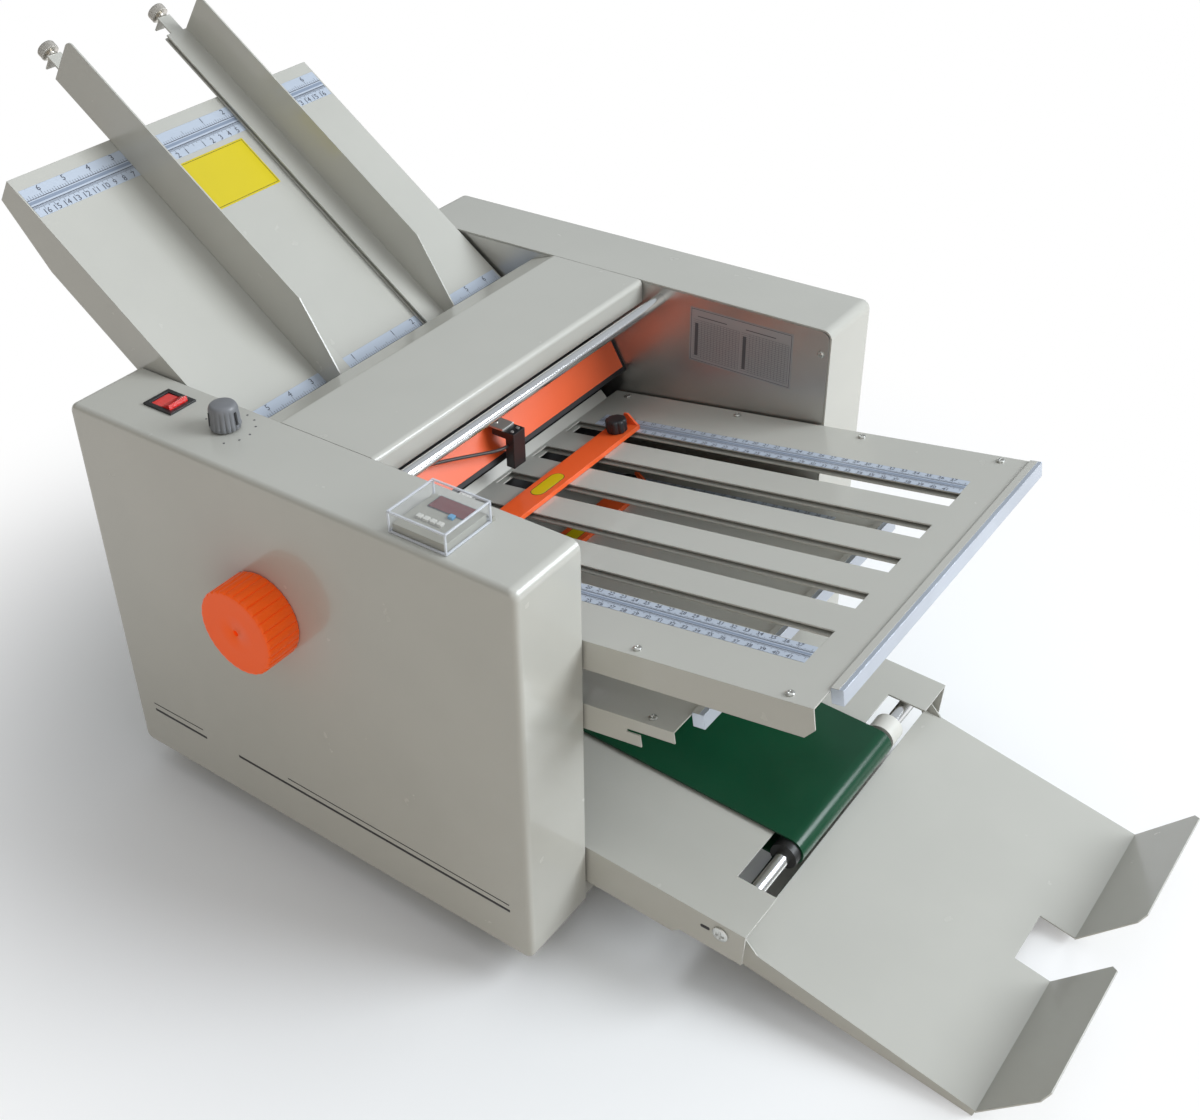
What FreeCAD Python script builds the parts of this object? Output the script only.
import FreeCAD, Part

import math
import os

import Sketcher

# A desk-top paper folding machine. Paper slides down the tilted tray at -X, four nips between five
# rollers drive it into two slotted fold plates, and a belt carries the folded sheets out at +X.
# X runs along the paper's way, Y across it, Z up. The origin is on the desk, in the middle of the
# rectangle that the two side housings cover. The side with the controls is the near side, at -Y.

os.makedirs("parts", exist_ok=True)
DOC = FreeCAD.newDocument("PaperFolder")
SHEET = DOC.addObject("Spreadsheet::Sheet", "Sizes")
PIECES = []


class Size:
    """A length, angle or count: its spreadsheet expression and its present number."""

    def __init__(self, text, value):
        self.text = text
        self.value = value

    def __add__(self, other):
        other = size_of(other)
        return Size(f"({self.text} + {other.text})", self.value + other.value)

    def __sub__(self, other):
        other = size_of(other)
        return Size(f"({self.text} - {other.text})", self.value - other.value)

    def __rsub__(self, other):
        return size_of(other) - self

    def __mul__(self, other):
        other = size_of(other)
        return Size(f"({self.text} * {other.text})", self.value * other.value)

    def __truediv__(self, other):
        other = size_of(other)
        return Size(f"({self.text} / {other.text})", self.value / other.value)

    def __neg__(self):
        return Size(f"(0 - {self.text})", -self.value)

    __radd__ = __add__
    __rmul__ = __mul__


def size_of(thing):
    """A plain number as a Size; a Size stays as it is."""
    return thing if isinstance(thing, Size) else Size(repr(thing), float(thing))


def sine(angle):
    return Size(f"sin({angle.text})", math.sin(math.radians(angle.value)))


def cosine(angle):
    return Size(f"cos({angle.text})", math.cos(math.radians(angle.value)))


class Cells:
    """The driving dimensions, one spreadsheet row each, read back as Size attributes."""

    def __init__(self):
        self.row = 0

    def table(self, heading, rows):
        self.row += 1
        SHEET.set(f"A{self.row}", heading)
        for name, value in rows.items():
            self.row += 1
            SHEET.set(f"A{self.row}", name.replace("_", " "))
            SHEET.set(f"B{self.row}", str(value))
            SHEET.setAlias(f"B{self.row}", name)
            setattr(self, name, Size(f"Sizes.{name}", float(value)))


S = Cells()
NONE = size_of(0)

# Driving dimensions, in millimetres and degrees; each becomes a cell of the spreadsheet

HOUSINGS = {
    "body_length": 434.0, "side_width": 70.0, "body_height": 347.0, "foot_height": 25.0,
    "inner_width": 347.0, "cover_wall": 1.5, "cover_edge_radius": 5.0, "cover_corner_radius": 8.0,
    "plate_thickness": 4.0, "rest_gap": 0.3, "cut_overrun": 2.0, "foot_radius": 17.0,
    "foot_inset_x": 60.0, "foot_inset_y": 38.0, "pan_wall": 2.0, "pan_flange": 14.0,
    "rear_panel_height": 215.0, "rear_panel_inset": 3.0, "tie_radius": 8.0,
    "tie_front_inset": 104.0, "tie_front_z": 140.0, "tie_rear_inset": 97.0, "tie_rear_z": 215.0,
    "tie_low_inset": 60.0, "tie_low_z": 60.0, "support_pin_radius": 4.0, "support_pin_length": 10.0,
    "liner_screw_inset": 8.4, "liner_screw_z": 350.0,
}
INLET = {
    "inlet_width": 30.0, "inlet_height": 24.0, "inlet_depth": 22.0, "inlet_rim": 5.0,
    "inlet_rim_thickness": 2.0, "inlet_y": -120.0, "inlet_z": 75.0, "inlet_pin_radius": 2.0,
    "inlet_pin_length": 14.0, "inlet_pin_pitch": 7.0, "inlet_wall": 2.5,
}
ROLLERS = {
    "roller_radius": 18.0, "roller_gap": 0.4, "roller_end_gap": 6.0, "shaft_radius": 6.0,
    "shaft_fit": 0.05, "bush_radius": 9.0, "bush_flange_radius": 12.0, "bush_flange": 2.0,
    "knob_axis_x": -22.8, "knob_axis_z": 253.4,
    "angle_2_to_1": 74.0, "angle_2_to_3": -65.0, "angle_3_to_4": -95.0, "angle_4_to_5": -30.0,
    "angle_1_to_feed": 144.4,
    "gear_teeth": 28.0, "feed_gear_teeth": 24.0, "gear_width": 10.0, "gear_layer_gap": 3.5,
    "feed_wheel_radius": 20.0, "feed_wheel_width": 24.0, "feed_wheel_pitch": 52.0,
    "spindle_radius": 5.0,
}
DRIVE = {
    "motor_x": -127.0, "motor_z": 115.0, "motor_radius": 32.0, "motor_length": 100.0,
    "motor_flange": 6.0, "motor_shaft_radius": 4.0, "motor_pulley_radius": 10.0,
    "large_pulley_radius": 30.0, "transfer_pulley_radius": 14.0, "belt_width": 9.0,
    "belt_thickness": 1.8, "pulley_layer_gap": 3.0, "pulley_width": 11.0,
}
TRAY = {
    "tray_angle": 36.0, "tray_start_x": -340.0, "tray_start_z": 500.2, "tray_slope_length": 302.8,
    "tray_clearance": 2.5, "tray_sheet": 1.5, "tray_flange": 37.5, "tray_flange_end": 23.0,
    "tray_taper_length": 68.0, "tray_flange_front": 12.0, "tray_flange_stop": 250.0,
    "separator_width": 60.0, "separator_length": 22.0, "separator_thickness": 8.0,
    "separator_gap": 3.0, "separator_arm": 5.0,
}
GUIDES = {
    "guide_sheet": 1.5, "guide_height": 46.0, "guide_toe_height": 16.0, "guide_lead": 71.0,
    "guide_full_length": 291.0, "guide_length": 366.0, "guide_flange": 23.0, "guide_leaf_gap": 3.0,
    "guide_head_radius": 7.0, "guide_strip_lead": 19.0, "guide_strip_width": 14.0,
    "near_guide_y": -63.5, "far_guide_y": 81.5,
    "guide_tab_width": 10.0, "guide_tab_drop": 9.0, "guide_screw_radius": 8.5,
    "guide_screw_length": 8.0, "guide_neck_radius": 5.0, "guide_neck_length": 2.5,
    "guide_screw_shank": 1.4, "guide_screw_tail": 24.0,
}
LID = {
    "lid_sheet": 1.2, "lid_front_x": 37.8, "lid_rear_x": -55.5, "lid_lip_x": -80.0,
    "lid_lip_drop": 9.0, "lid_front_drop": 20.0, "lid_side_gap": 0.5, "lid_bend": 3.0,
    "hinge_pin_radius": 2.5, "hinge_ear": 5.0, "hinge_ear_thickness": 2.0, "bar_radius": 5.0,
    "bar_x": 56.0, "bar_z": 359.0,
}
GUARD = {
    "guard_angle": 60.0, "guard_x": 6.5, "guard_z": 306.6, "guard_length": 26.0,
    "guard_sheet": 1.5, "guard_far_gap": 3.0, "guard_edge": 4.0,
    "guard_edge_depth": 4.0, "guard_block": 6.0, "sensor_front_x": 35.5,
    "sensor_near_y": -10.5, "sensor_z": 277.0, "sensor_depth": 8.3, "sensor_width": 14.8,
    "sensor_height": 32.0, "sensor_arm": 22.0, "sensor_arm_height": 6.0, "sensor_clip": 17.0,
    "sensor_clip_sheet": 1.5, "sensor_leg": 2.5, "lead_radius": 1.4, "lead_exit_x": -8.0,
    "lead_exit_z": 317.0,
}
UPPER_PLATE = {
    "upper_angle": 8.335, "upper_x": 13.0, "upper_z": 257.5, "upper_length": 380.0,
    "upper_strip": 8.7, "fold_clearance": 2.5, "fold_sheet": 1.2, "fold_gap": 2.5,
    "fold_flange": 25.0, "upper_slot_start": 3.5, "upper_slot_end": 352.7, "slot_width": 20.5,
    "slot_pitch": 49.4, "slot_offset": -1.75, "slot_count": 5.0, "slot_step": 2.0,
    "lip_length": 9.2, "lip_angle": 53.0, "strip_height": 12.0, "strip_inset": 16.0,
    "fold_flange_corner": 8.0, "strip_near_inset": 22.5, "screw_inset": 7.5,
}
LOWER_PLATE = {
    "lower_angle": 8.6, "lower_x": 15.0, "lower_z": 199.65, "lower_length": 278.0,
    "lower_strip": 9.5, "lower_flange": 23.0, "lower_flange_end": 10.0,
    "lower_deep_length": 252.0, "lower_slot_end": 245.0, "hook_width": 3.0, "hook_length": 14.0,
    "lower_strip_near_inset": 23.5, "lower_strip_far_inset": 26.5,
}
STOPS = {
    "stop_width": 24.0, "stop_thickness": 2.0, "stop_start": 40.0,
    "lower_stop_start": 50.0, "stop_near_inset": 2.5, "stop_far_inset": 58.5, "stop_ear": 11.5,
    "stop_ear_foot": 14.0, "stop_ear_top": 4.0, "stop_ear_low": 1.0,
    "finger_width": 14.0, "finger_thickness": 2.0, "finger_below": 1.6, "stop_knob_radius": 9.4,
    "stop_knob_height": 11.5, "stop_knob_inset": 16.5, "stop_screw_radius": 2.5,
    "stop_flutes": 20.0,
}
DELIVERY = {
    "table_angle": 3.3, "table_x": -12.0, "table_z": 98.0, "table_length": 367.0,
    "table_clearance": 5.0, "table_offset": -2.0, "table_sheet": 1.5, "table_flange": 37.0,
    "table_flange_end": 31.0, "table_step": 308.0, "table_cut_start": 333.6,
    "table_cut_near": 46.0, "table_cut_far": 40.0, "web_width": 150.0, "web_offset": 4.5,
    "web_thickness": 1.5, "drum_radius": 11.2, "web_rise": 1.5, "drum_start": -15.0,
    "drum_end": 347.6, "end_shaft_radius": 6.25, "drum_bore_fit": 0.05, "collar_width": 8.0,
    "wheel_radius": 12.5, "wheel_width": 18.0, "wheel_y": 92.5, "end_screw_radius": 6.5,
    "end_screw_head": 2.5,
}
CATCH = {
    "catch_angle": 12.73, "catch_x": 343.0, "catch_z": 49.46, "catch_length": 192.2,
    "catch_clearance": 10.0, "catch_offset": 2.0, "catch_sheet": 1.2, "catch_flange": 19.0,
    "catch_flange_end": 6.8, "catch_cut_length": 29.0, "catch_cut_near": -21.5,
    "catch_cut_far": 28.5, "catch_tab": 65.0, "catch_tab_angle": 49.5, "catch_tab_chamfer": 6.5,
    "catch_ear_radius": 8.0,
}
CONTROLS = {
    "bezel_inset": 68.5, "bezel_edge": 44.0, "bezel_length": 31.0, "bezel_width": 26.0,
    "bezel_rise": 1.6, "bezel_depth": 18.0, "bezel_rim": 2.0, "bezel_wall": 1.6,
    "rocker_length": 21.6, "rocker_width": 18.2, "rocker_rise": 4.0, "rocker_angle": 12.0,
    "rocker_pivot": 1.5, "rocker_pivot_depth": 1.0, "rocker_pin": 1.0,
    "dial_inset": 132.5, "dial_edge": 42.0, "dial_radius": 12.7, "dial_height": 21.6,
    "dial_flutes": 18.0, "dial_flute_radius": 0.9, "dial_shaft_radius": 3.0,
    "dial_spindle_length": 14.0,
    "counter_inset": 86.0, "counter_edge": 31.0, "counter_length": 50.0, "counter_width": 48.0,
    "counter_height": 17.0, "counter_depth": 26.0, "counter_base": 7.0, "counter_wall": 1.8,
    "button_side": 4.0, "button_rise": 1.8, "button_travel": 1.2, "button_well": 6.0,
    "digit_start_x": -12.0, "digit_pitch": 5.9, "digit_y": -6.0, "reset_x": 6.3, "reset_y": 5.0,
    "hinge_pin_small": 0.9, "knuckle_radius": 1.8,
}
KNOB_AND_SCREWS = {
    "hand_radius": 36.0, "hand_depth": 32.0, "hand_gap": 0.6, "hand_flutes": 30.0,
    "hand_flute_radius": 1.6, "hand_bore": 2.4, "hand_edge": 2.0, "screw_head_radius": 3.1,
    "screw_head": 2.0, "screw_shank_radius": 2.0, "hand_seat": 20.0,
}
for heading, sizes in {
    "Housings and frame": HOUSINGS,
    "Inlet": INLET,
    "Rollers and gears": ROLLERS,
    "Motor and belts": DRIVE,
    "Feed tray": TRAY,
    "Paper guides": GUIDES,
    "Top cover and bar": LID,
    "Guard and sensor": GUARD,
    "Upper fold plate": UPPER_PLATE,
    "Lower fold plate": LOWER_PLATE,
    "Paper stops": STOPS,
    "Delivery table": DELIVERY,
    "Catch tray": CATCH,
    "Controls": CONTROLS,
    "Hand knob and fasteners": KNOB_AND_SCREWS,
}.items():
    S.table(heading, sizes)
DOC.recompute()

# Places worked out from the driving dimensions

HALF_INNER = S.inner_width / 2
OUTER = HALF_INNER + S.side_width
FRONT = S.body_length / 2
BODY_TOP = S.foot_height + S.body_height
PITCH = 2 * S.roller_radius + S.roller_gap
GEAR_RADIUS = PITCH / 2
MODULE = PITCH / S.gear_teeth
FEED_GEAR_RADIUS = MODULE * S.feed_gear_teeth / 2
PLATE_OUT = HALF_INNER + S.plate_thickness
GEAR_IN = PLATE_OUT + S.gear_layer_gap
GEAR_OUT = GEAR_IN + S.gear_width
MAIN_IN = GEAR_OUT + S.pulley_layer_gap
MAIN_OUT = MAIN_IN + S.pulley_width
TRANSFER_IN = MAIN_OUT + S.pulley_layer_gap
TRANSFER_OUT = TRANSFER_IN + S.pulley_width


def beyond(place, angle, distance):
    """The X, Z place that lies at a distance and angle from another."""
    return place[0] + distance * cosine(angle), place[1] + distance * sine(angle)


ROLLER_2 = (S.knob_axis_x, S.knob_axis_z)
ROLLER_1 = beyond(ROLLER_2, S.angle_2_to_1, PITCH)
ROLLER_3 = beyond(ROLLER_2, S.angle_2_to_3, PITCH)
ROLLER_4 = beyond(ROLLER_3, S.angle_3_to_4, PITCH)
ROLLER_5 = beyond(ROLLER_4, S.angle_4_to_5, PITCH)
IDLER = beyond(ROLLER_1, S.angle_1_to_feed, PITCH)
FEED = beyond(IDLER, S.angle_1_to_feed, GEAR_RADIUS + FEED_GEAR_RADIUS)
TRAY_WIDTH = S.inner_width - 2 * S.tray_clearance
FOLD_WIDTH = S.inner_width - 2 * S.fold_clearance
STOP_NEAR = S.stop_near_inset - FOLD_WIDTH / 2
STOP_FAR = FOLD_WIDTH / 2 - S.stop_far_inset
STOP_KNOB = STOP_FAR - S.stop_knob_inset
TABLE_WIDTH = S.inner_width - 2 * S.table_clearance
TABLE_NEAR = S.table_offset - TABLE_WIDTH / 2
TABLE_FAR = S.table_offset + TABLE_WIDTH / 2
CATCH_WIDTH = TABLE_WIDTH - 2 * S.catch_clearance
BEZEL = (S.bezel_inset - FRONT, S.bezel_edge - OUTER)
DIAL = (S.dial_inset - FRONT, S.dial_edge - OUTER)
COUNTER = (FRONT - S.counter_inset, S.counter_edge - OUTER)
MOTOR = (S.motor_x, S.motor_z)
BAR = (S.bar_x, S.bar_z)
HINGE = (S.lid_lip_x + S.hinge_ear / 2, BODY_TOP - S.lid_lip_drop - S.hinge_ear + S.lid_sheet / 2)


def on_slope(start, angle, along, lift):
    """A place on a plane that falls toward +X: a distance along it and a lift square to it."""
    return (start[0] + along * cosine(angle) + lift * sine(angle),
            start[1] - along * sine(angle) + lift * cosine(angle))


TRAY_START = (S.tray_start_x, S.tray_start_z)
UPPER_START = (S.upper_x, S.upper_z)
LOWER_START = (S.lower_x, S.lower_z)
TABLE_START = (S.table_x, S.table_z)
CATCH_START = (S.catch_x, S.catch_z)
DRUM_DROP = S.web_rise - S.drum_radius - S.rest_gap
DRIVE_DRUM = on_slope(TABLE_START, S.table_angle, S.drum_start, DRUM_DROP)
END_DRUM = on_slope(TABLE_START, S.table_angle, S.drum_end, DRUM_DROP)


# Helpers that make and bind the document's objects

def fresh(kind, name):
    return DOC.addObject(kind, name)


def bind(thing, prop, size):
    """Tie one property of an object to the spreadsheet."""
    thing.setExpression(prop, size_of(size).text)


def put(thing, x=NONE, y=NONE, z=NONE, axis=None, angle=None):
    """Bind an object's placement: a base and, where needed, a turn about an axis."""
    if axis is not None:
        turn = FreeCAD.Rotation(FreeCAD.Vector(*axis), size_of(angle).value)
        thing.Placement = FreeCAD.Placement(FreeCAD.Vector(), turn)
        bind(thing, "Placement.Rotation.Angle", angle)
    for name, size in (("x", x), ("y", y), ("z", z)):
        bind(thing, f"Placement.Base.{name}", size)
    return thing


def block(name, start, lengths):
    """A box from its lowest corner and its three lengths."""
    box = fresh("Part::Box", name)
    for prop, size in zip(("Length", "Width", "Height"), lengths):
        bind(box, prop, size)
    return put(box, *start)


TURNS = {"X": ((0, 1, 0), 90), "Y": ((1, 0, 0), -90), "Z": (None, None)}


def rod(name, radius, start, length, axis="Y"):
    """A cylinder that runs from its start along +X, +Y or +Z."""
    round_bar = fresh("Part::Cylinder", name)
    bind(round_bar, "Radius", radius)
    bind(round_bar, "Height", length)
    turn_axis, angle = TURNS[axis]
    return put(round_bar, *start, axis=turn_axis, angle=angle)


def join(name, shapes):
    fused = fresh("Part::MultiFuse", name)
    fused.Shapes = shapes
    return fused


def cut(name, base, tools):
    """Cut tools from a base; several tools are taken as one fused shape."""
    taken = fresh("Part::Cut", name)
    taken.Base = base
    taken.Tool = tools[0] if len(tools) == 1 else join(name + "Tools", tools)
    return taken


def group(name, shapes):
    """Separate solids kept together as one node."""
    gathered = fresh("Part::Compound", name)
    gathered.Links = shapes
    return gathered


def tube(name, radius, bore, start, length, axis="Y"):
    """A ring: a cylinder with a through bore."""
    back = [place for place in start]
    index = "XYZ".index(axis)
    back[index] = back[index] - S.cut_overrun
    drill = rod(name + "Bore", bore, back, length + 2 * S.cut_overrun, axis)
    return cut(name, rod(name + "Outside", radius, start, length, axis), [drill])


def origin_plane(body, role):
    return next(item for item in body.Origin.OriginFeatures if item.Role == role)


def sketch_outline(body, name, role, points, offset):
    """A closed sketch whose corners are dimensioned from the origin."""
    sketch = body.newObject("Sketcher::SketchObject", name)
    sketch.AttachmentSupport = (origin_plane(body, role), [""])
    sketch.MapMode = "FlatFace"
    bind(sketch, "AttachmentOffset.Base.z", offset)
    count = len(points)
    corners = [FreeCAD.Vector(size_of(x).value, size_of(y).value, 0) for x, y in points]
    for index in range(count):
        sketch.addGeometry(Part.LineSegment(corners[index], corners[(index + 1) % count]), False)
    for index in range(count):
        sketch.addConstraint(Sketcher.Constraint("Coincident", index, 2, (index + 1) % count, 1))
    for index, (x, y) in enumerate(points):
        for kind, size in (("DistanceX", size_of(x)), ("DistanceY", size_of(y))):
            limit = Sketcher.Constraint(kind, -1, 1, index, 1, size.value)
            number = sketch.addConstraint(limit)
            sketch.setExpression(f"Constraints[{number}]", size.text)
    return sketch


def pad(body, name, role, points, start, length):
    """Pad an outline from a start to start + length, along the plane's own axis."""
    flip = role == "XZ_Plane"
    sketch = sketch_outline(body, name + "Outline", role, points, -start if flip else start)
    feature = body.newObject("PartDesign::Pad", name)
    feature.Profile = sketch
    feature.Reversed = flip
    bind(feature, "Length", length)
    return feature


def pocket(body, name, role, points, start, length):
    """Cut an outline out of a body, from a start along the plane's own axis."""
    flip = role == "XZ_Plane"
    DOC.recompute()
    before = body.Shape.Volume
    sketch = sketch_outline(body, name + "Outline", role, points, -start if flip else start)
    feature = body.newObject("PartDesign::Pocket", name)
    feature.Profile = sketch
    feature.Reversed = not flip
    bind(feature, "Length", length)
    DOC.recompute()
    if not feature.Shape.Volume < before:
        raise ValueError(f"{name} cuts nothing")
    return feature


def prism(name, role, points, start, length):
    """A body with one pad."""
    body = fresh("PartDesign::Body", name)
    pad(body, name + "Pad", role, points, start, length)
    return body


def rectangle(x0, y0, x1, y1):
    return [(x0, y0), (x1, y0), (x1, y1), (x0, y1)]


def soften(body, name, feature, radius, chosen):
    """Round those edges of a body's last feature that a test picks."""
    DOC.recompute()
    names = [f"Edge{number}" for number, edge in enumerate(feature.Shape.Edges, 1) if chosen(edge)]
    fillet = body.newObject("PartDesign::Fillet", name)
    fillet.Base = (feature, names)
    bind(fillet, "Radius", radius)
    return fillet


def runs_along(axis):
    """A test for straight edges that run along X, Y or Z."""
    index = "XYZ".index(axis)

    def test(edge):
        if edge.Curve.TypeId != "Part::GeomLine":
            return False
        first, last = edge.Vertexes[0].Point, edge.Vertexes[-1].Point
        return abs(abs((last - first)[index]) - edge.Length) < edge.Length * SAME_SHARE
    return test


SAME_SHARE = 0.001


def tilt(thing, start, angle):
    """Lay a piece, drawn flat, on a plane that falls toward +X by an angle."""
    return put(thing, start[0], NONE, start[1], axis=(0, 1, 0), angle=angle)


def bent_sheet(name, points, sheet, bend, start, length):
    """Sheet metal with round bends: an outer line of points, thickened to its right, along Y."""
    sheet, bend = size_of(sheet).value, size_of(bend).value
    outer = [FreeCAD.Vector(size_of(x).value, 0, size_of(z).value) for x, z in points]
    steps = [(b - a).normalize() for a, b in zip(outer, outer[1:])]
    sides = [FreeCAD.Vector(step.z, 0, -step.x) for step in steps]
    inner = [outer[0] + sides[0] * sheet]
    for corner, first, second in zip(outer[1:-1], sides, sides[1:]):
        inner.append(corner + (first + second) * (sheet / (1 + first.dot(second))))
    inner.append(outer[-1] + sides[-1] * sheet)
    edges = rounded_line(outer, steps, bend, sheet, 1)
    back = rounded_line(inner, steps, bend, sheet, -1)
    ends = [Part.makeLine(outer[-1], inner[-1]), Part.makeLine(inner[0], outer[0])]
    face = Part.Face(Part.Wire(Part.__sortEdges__(edges + back + ends)))
    feature = fresh("Part::Feature", name)
    start = size_of(start).value
    solid = face.extrude(FreeCAD.Vector(0, size_of(length).value, 0))
    solid.translate(FreeCAD.Vector(0, start, 0))
    feature.Shape = solid
    return feature


def rounded_line(corners, steps, bend, sheet, side):
    """Edges of a line of corners with an arc at each: the side away from the bend is larger."""
    edges = []
    at = corners[0]
    for corner, first, second in zip(corners[1:-1], steps, steps[1:]):
        turn = first.getAngle(second)
        left = first.z * second.x - first.x * second.z < 0
        radius = bend + sheet if left == (side < 0) else bend
        reach = radius * math.tan(turn / 2)
        arc_start = corner - first * reach
        arc_end = corner + second * reach
        middle = (second - first).normalize()
        bulge = corner + middle * (radius / math.cos(turn / 2) - radius)
        edges.append(Part.makeLine(at, arc_start))
        edges.append(Part.Arc(arc_start, bulge, arc_end).toShape())
        at = arc_end
    edges.append(Part.makeLine(at, corners[-1]))
    return edges


def piece(label, thing):
    """Name a finished sub-part; its label names its file."""
    thing.Label = label
    PIECES.append(thing)
    return thing


def sketch_circles(body, name, role, circles, offset):
    """A sketch of circles, each from its centre and radius."""
    sketch = body.newObject("Sketcher::SketchObject", name)
    sketch.AttachmentSupport = (origin_plane(body, role), [""])
    sketch.MapMode = "FlatFace"
    bind(sketch, "AttachmentOffset.Base.z", offset)
    for index, (x, y, radius) in enumerate(circles):
        centre = FreeCAD.Vector(size_of(x).value, size_of(y).value, 0)
        circle = Part.Circle(centre, FreeCAD.Vector(0, 0, 1), size_of(radius).value)
        sketch.addGeometry(circle, False)
        limits = [("Radius", (index,), radius), ("DistanceX", (-1, 1, index, 3), x),
                  ("DistanceY", (-1, 1, index, 3), y)]
        for kind, where, size in limits:
            number = sketch.addConstraint(Sketcher.Constraint(kind, *where, size_of(size).value))
            sketch.setExpression(f"Constraints[{number}]", size_of(size).text)
    return sketch


def holes(body, name, role, circles, start, length):
    """Round holes through a body, in one pocket."""
    flip = role == "XZ_Plane"
    DOC.recompute()
    before = body.Shape.Volume
    sketch = sketch_circles(body, name + "Circles", role, circles, -start if flip else start)
    feature = body.newObject("PartDesign::Pocket", name)
    feature.Profile = sketch
    feature.Reversed = not flip
    bind(feature, "Length", length)
    DOC.recompute()
    if not feature.Shape.Volume < before:
        raise ValueError(f"{name} cuts nothing")
    return feature


def fluted_knob(name, radius, height, flutes, flute_radius, edge):
    """A knob standing on XY along +Z: a rounded disc with a ring of flutes, as a pattern."""
    body = fresh("PartDesign::Body", name)
    disc = body.newObject("PartDesign::Pad", name + "Disc")
    disc.Profile = sketch_circles(body, name + "Rim", "XY_Plane", [(NONE, NONE, radius)], NONE)
    bind(disc, "Length", height)

    def is_top(edge_found):
        return abs(edge_found.BoundBox.ZMin - height.value) < edge.value * SAME_SHARE

    rounded = soften(body, name + "Edge", disc, edge, is_top)
    circles = [(radius, NONE, flute_radius)]
    body.Tip = rounded
    flute = holes(body, name + "Flute", "XY_Plane", circles, -S.cut_overrun,
                  height + S.cut_overrun - edge)
    pattern = body.newObject("PartDesign::PolarPattern", name + "Flutes")
    pattern.Originals = [flute]
    axis = next(item for item in body.Origin.OriginFeatures if item.Role == "Z_Axis")
    pattern.Axis = (axis, [""])
    pattern.Angle = 360
    bind(pattern, "Occurrences", flutes)
    body.Tip = pattern
    return body


def gear(name, teeth, pitch_radius, phase, centre):
    """A spur gear whose axis runs along Y, in the gear layer behind the near frame plate."""
    count = int(teeth.value)
    step = 360 / count
    module = MODULE.value
    heights = [pitch_radius.value - ROOT_SHARE * module, pitch_radius.value + TIP_SHARE * module]
    corners = []
    for tooth in range(count):
        middle = phase + tooth * step
        for share, radius in zip(FLANK_SHARES, heights + heights[::-1]):
            angle = math.radians(middle + share * step)
            corners.append(FreeCAD.Vector(radius * math.cos(angle), 0, radius * math.sin(angle)))
    face = Part.Face(Part.makePolygon(corners + corners[:1]))
    blank = fresh("Part::Feature", name + "Blank")
    blank.Shape = face.extrude(FreeCAD.Vector(0, S.gear_width.value, 0))
    put(blank, centre[0], -GEAR_OUT, centre[1])
    return blank


ROOT_SHARE = 1.1
TIP_SHARE = 0.8
FLANK_SHARES = (-0.27, -0.12, 0.12, 0.27)


def meshed(phase, teeth, angle, other_teeth):
    """The phase of a gear that meshes with another that lies at an angle from it."""
    step = 360 / teeth.value
    other_step = 360 / other_teeth.value
    passed = (angle.value - phase) / step
    return angle.value + 180 + (passed % 1 + 0.5) * other_step


# Housings and frame

def cover_shell(name, side):
    """One housing: a deep pressed cover, open toward the paper."""
    half = S.body_length / 2
    low = HALF_INNER if side > 0 else -OUTER
    body = fresh("PartDesign::Body", name)
    outline = rectangle(-half, S.foot_height, half, BODY_TOP)
    solid = pad(body, name + "Block", "XZ_Plane", outline, low, S.side_width)
    corners = soften(body, name + "Corners", solid, S.cover_corner_radius, runs_along("Y"))
    face_y = side * OUTER.value

    def on_outer_face(edge):
        off = abs(edge.BoundBox.YMin - face_y) + abs(edge.BoundBox.YMax - face_y)
        return off < S.cover_wall.value

    rim = soften(body, name + "Edges", corners, S.cover_edge_radius, on_outer_face)
    DOC.recompute()
    open_face = next(f"Face{number}" for number, face in enumerate(rim.Shape.Faces, 1)
                     if abs(face.BoundBox.YMin + side * -HALF_INNER.value) < S.cover_wall.value
                     and abs(face.BoundBox.YMax + side * -HALF_INNER.value) < S.cover_wall.value)
    shell = body.newObject("PartDesign::Thickness", name + "Shell")
    shell.Base = (rim, [open_face])
    bind(shell, "Value", S.cover_wall)
    shell.Reversed = True
    shell.Join = "Intersection"
    return body


def near_side_cover():
    """The near housing, with holes for the knob shaft, the switch, the dial and the counter."""
    shell = cover_shell("NearShell", -1)
    reach = S.cover_wall + 2 * S.cut_overrun
    top = BODY_TOP - S.cover_wall - S.cut_overrun
    knob = rod("KnobHole", S.shaft_radius + S.hand_gap,
               (S.knob_axis_x, -OUTER - S.cut_overrun, S.knob_axis_z), reach)
    rim = S.bezel_rim - S.rest_gap
    switch = block("SwitchHole", (BEZEL[0] - S.bezel_length / 2 + rim,
                                  BEZEL[1] - S.bezel_width / 2 + rim, top),
                   (S.bezel_length - 2 * rim, S.bezel_width - 2 * rim, reach))
    dial = rod("DialHole", S.dial_shaft_radius + S.hand_gap, (*DIAL, top), reach, "Z")
    counter = block("CounterHole", (COUNTER[0] - S.counter_length / 2 + 2 * S.counter_wall,
                                    COUNTER[1] - S.counter_width / 2 + 2 * S.counter_wall, top),
                    (S.counter_length - 4 * S.counter_wall, S.counter_width - 4 * S.counter_wall,
                     reach))
    return piece("near_side_cover", cut("NearSideCover", shell, [knob, switch, dial, counter]))


def far_side_cover():
    return piece("far_side_cover", cover_shell("FarShell", 1))


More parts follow.
